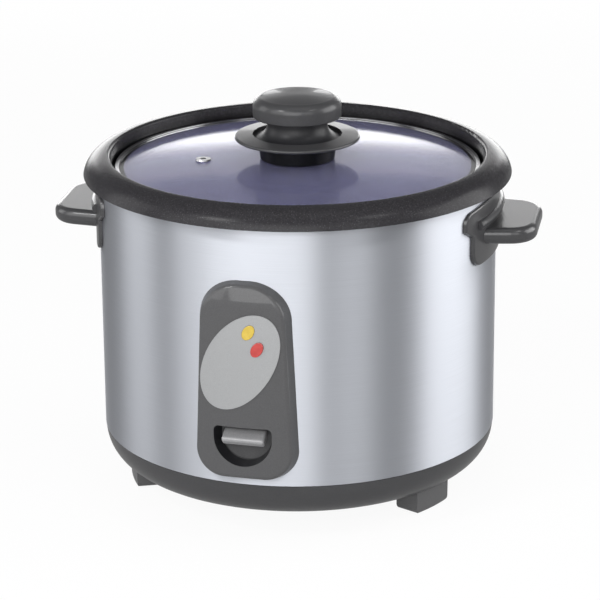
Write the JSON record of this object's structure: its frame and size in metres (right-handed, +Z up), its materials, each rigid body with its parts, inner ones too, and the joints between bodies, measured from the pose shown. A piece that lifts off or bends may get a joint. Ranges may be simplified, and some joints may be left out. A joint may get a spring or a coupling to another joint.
{
  "type": "rice cooker",
  "caption": "Round electric rice cooker with a steel shell, lift-out rimmed pot, banded glass lid, side handles and a front lever that switches the heater.",
  "frame": {"origin": "centre of the feet on the table, under the pot's axis", "axes": "+Z up along the pot's axis, -Y out of the control panel, +X towards the handle on the panel's right as seen from the front"},
  "size_m": [0.3142, 0.2744, 0.2568],
  "materials": {
    "pot_coating": "dark grey speckled non-stick coating",
    "lid_glass": "clear tempered glass with a faint violet tint",
    "lid_band_steel": "bright rolled steel",
    "grommet_metal": "satin",
    "gasket_black": "matte black",
    "knob_grey": "satin moulded grey",
    "plated_steel": "zinc plated",
    "liner_aluminium": "drawn sheet",
    "shell_steel": "stainless steel brushed round the body",
    "moulding_grey": "fine moulded texture",
    "panel_grey": "fine moulded texture",
    "lever_grey": "polished",
    "pad_rubber": "matte",
    "plate_aluminium": "machined casting",
    "terminal_brass": "plain",
    "mica_tan": "mica sheet",
    "fuse_metal": "plain",
    "label_silver": "satin anodised",
    "lens_yellow": "clear tinted",
    "lens_red": "clear tinted",
    "carrier_white": "plain",
    "neon_glass": "clear",
    "switch_black": "plain",
    "ferrite_dark": "sintered",
    "spring_steel": "drawn wire"
  },
  "bodies": {
    "housing": {"outer_shell": "shell_steel", "heat_liner": "liner_aluminium", "base_pan": "moulding_grey", "base_feet": "moulding_grey", "foot_pads": "pad_rubber", "mount_posts": "plated_steel", "base_screws": "plated_steel", "heating_plate": "plate_aluminium", "plate_spacers": "plated_steel", "plate_screws": "plated_steel", "heater_terminals": "terminal_brass", "warm_heater_band": "mica_tan", "thermal_fuse": "fuse_metal", "fuse_clip": "plated_steel", "front_bezel": "panel_grey", "bezel_screws": "plated_steel", "label_plate": "label_silver", "warm_lamp_lens": "lens_yellow", "cook_lamp_lens": "lens_red", "lamp_carrier": "carrier_white", "neon_lamps": "neon_glass", "right_handle": "moulding_grey", "left_handle": "moulding_grey", "handle_screws": "plated_steel", "lever_bracket": "plated_steel", "lever_pivot_pin": "plated_steel", "heater_switch": "switch_black", "sensor_seat": "plated_steel", "sensor_spring": "spring_steel", "power_inlet": "switch_black", "inlet_pins": "terminal_brass"},
    "pot": {"inner_pot": "pot_coating"},
    "lid": {"lid_glass": "lid_glass", "lid_band": "lid_band_steel", "vent_grommet": "grommet_metal", "knob_gasket": "gasket_black", "knob_skirt": "knob_grey", "knob_neck": "knob_grey", "knob_cap": "knob_grey", "knob_washer": "gasket_black", "knob_screw": "plated_steel"},
    "cook_lever": {"lever_knob": "lever_grey", "lever_arm": "plated_steel"},
    "switch_button": {"switch_plunger": "carrier_white"},
    "sensor_head": {"sensor_cap": "plate_aluminium", "sensor_sleeve": "plated_steel", "sensor_ferrite": "ferrite_dark", "magnet_spring": "spring_steel"},
    "magnet": {"lift_magnet": "ferrite_dark", "magnet_rod": "plated_steel"}
  },
  "joints": [
    {"name": "pot_lift", "type": "slide", "parent": "housing", "child": "pot", "axis": [0, 0, 1], "range_m": [0, 0.2]},
    {"name": "lid_lift", "type": "slide", "parent": "pot", "child": "lid", "axis": [0, 0, 1], "range_m": [0, 0.1]},
    {"name": "lever_press", "type": "hinge", "parent": "housing", "child": "cook_lever", "pos_m": [0, -0.062, 0.0537], "axis": [1, 0, 0], "range_deg": [0, 4.4], "stiffness_Nm_per_rad": 0.6, "springref_deg": -8.59},
    {"name": "sensor_press", "type": "slide", "parent": "housing", "child": "sensor_head", "axis": [0, 0, 1], "range_m": [-0.0015, 0], "stiffness_N_per_m": 700, "springref_m": 0.004, "deforming": ["sensor_spring"]},
    {"name": "magnet_lift", "type": "slide", "parent": "sensor_head", "child": "magnet", "axis": [0, 0, 1], "range_m": [0, 0.0048], "deforming": ["magnet_spring"]},
    {"name": "switch_press", "type": "slide", "parent": "housing", "child": "switch_button", "axis": [0, 0, 1], "range_m": [0, 0.001]}
  ],
  "couplings": [
    {"joint": "magnet_lift", "follows": "lever_press", "m_per_rad": 0.062},
    {"joint": "switch_press", "follows": "lever_press", "m_per_rad": 0.013}
  ]
}
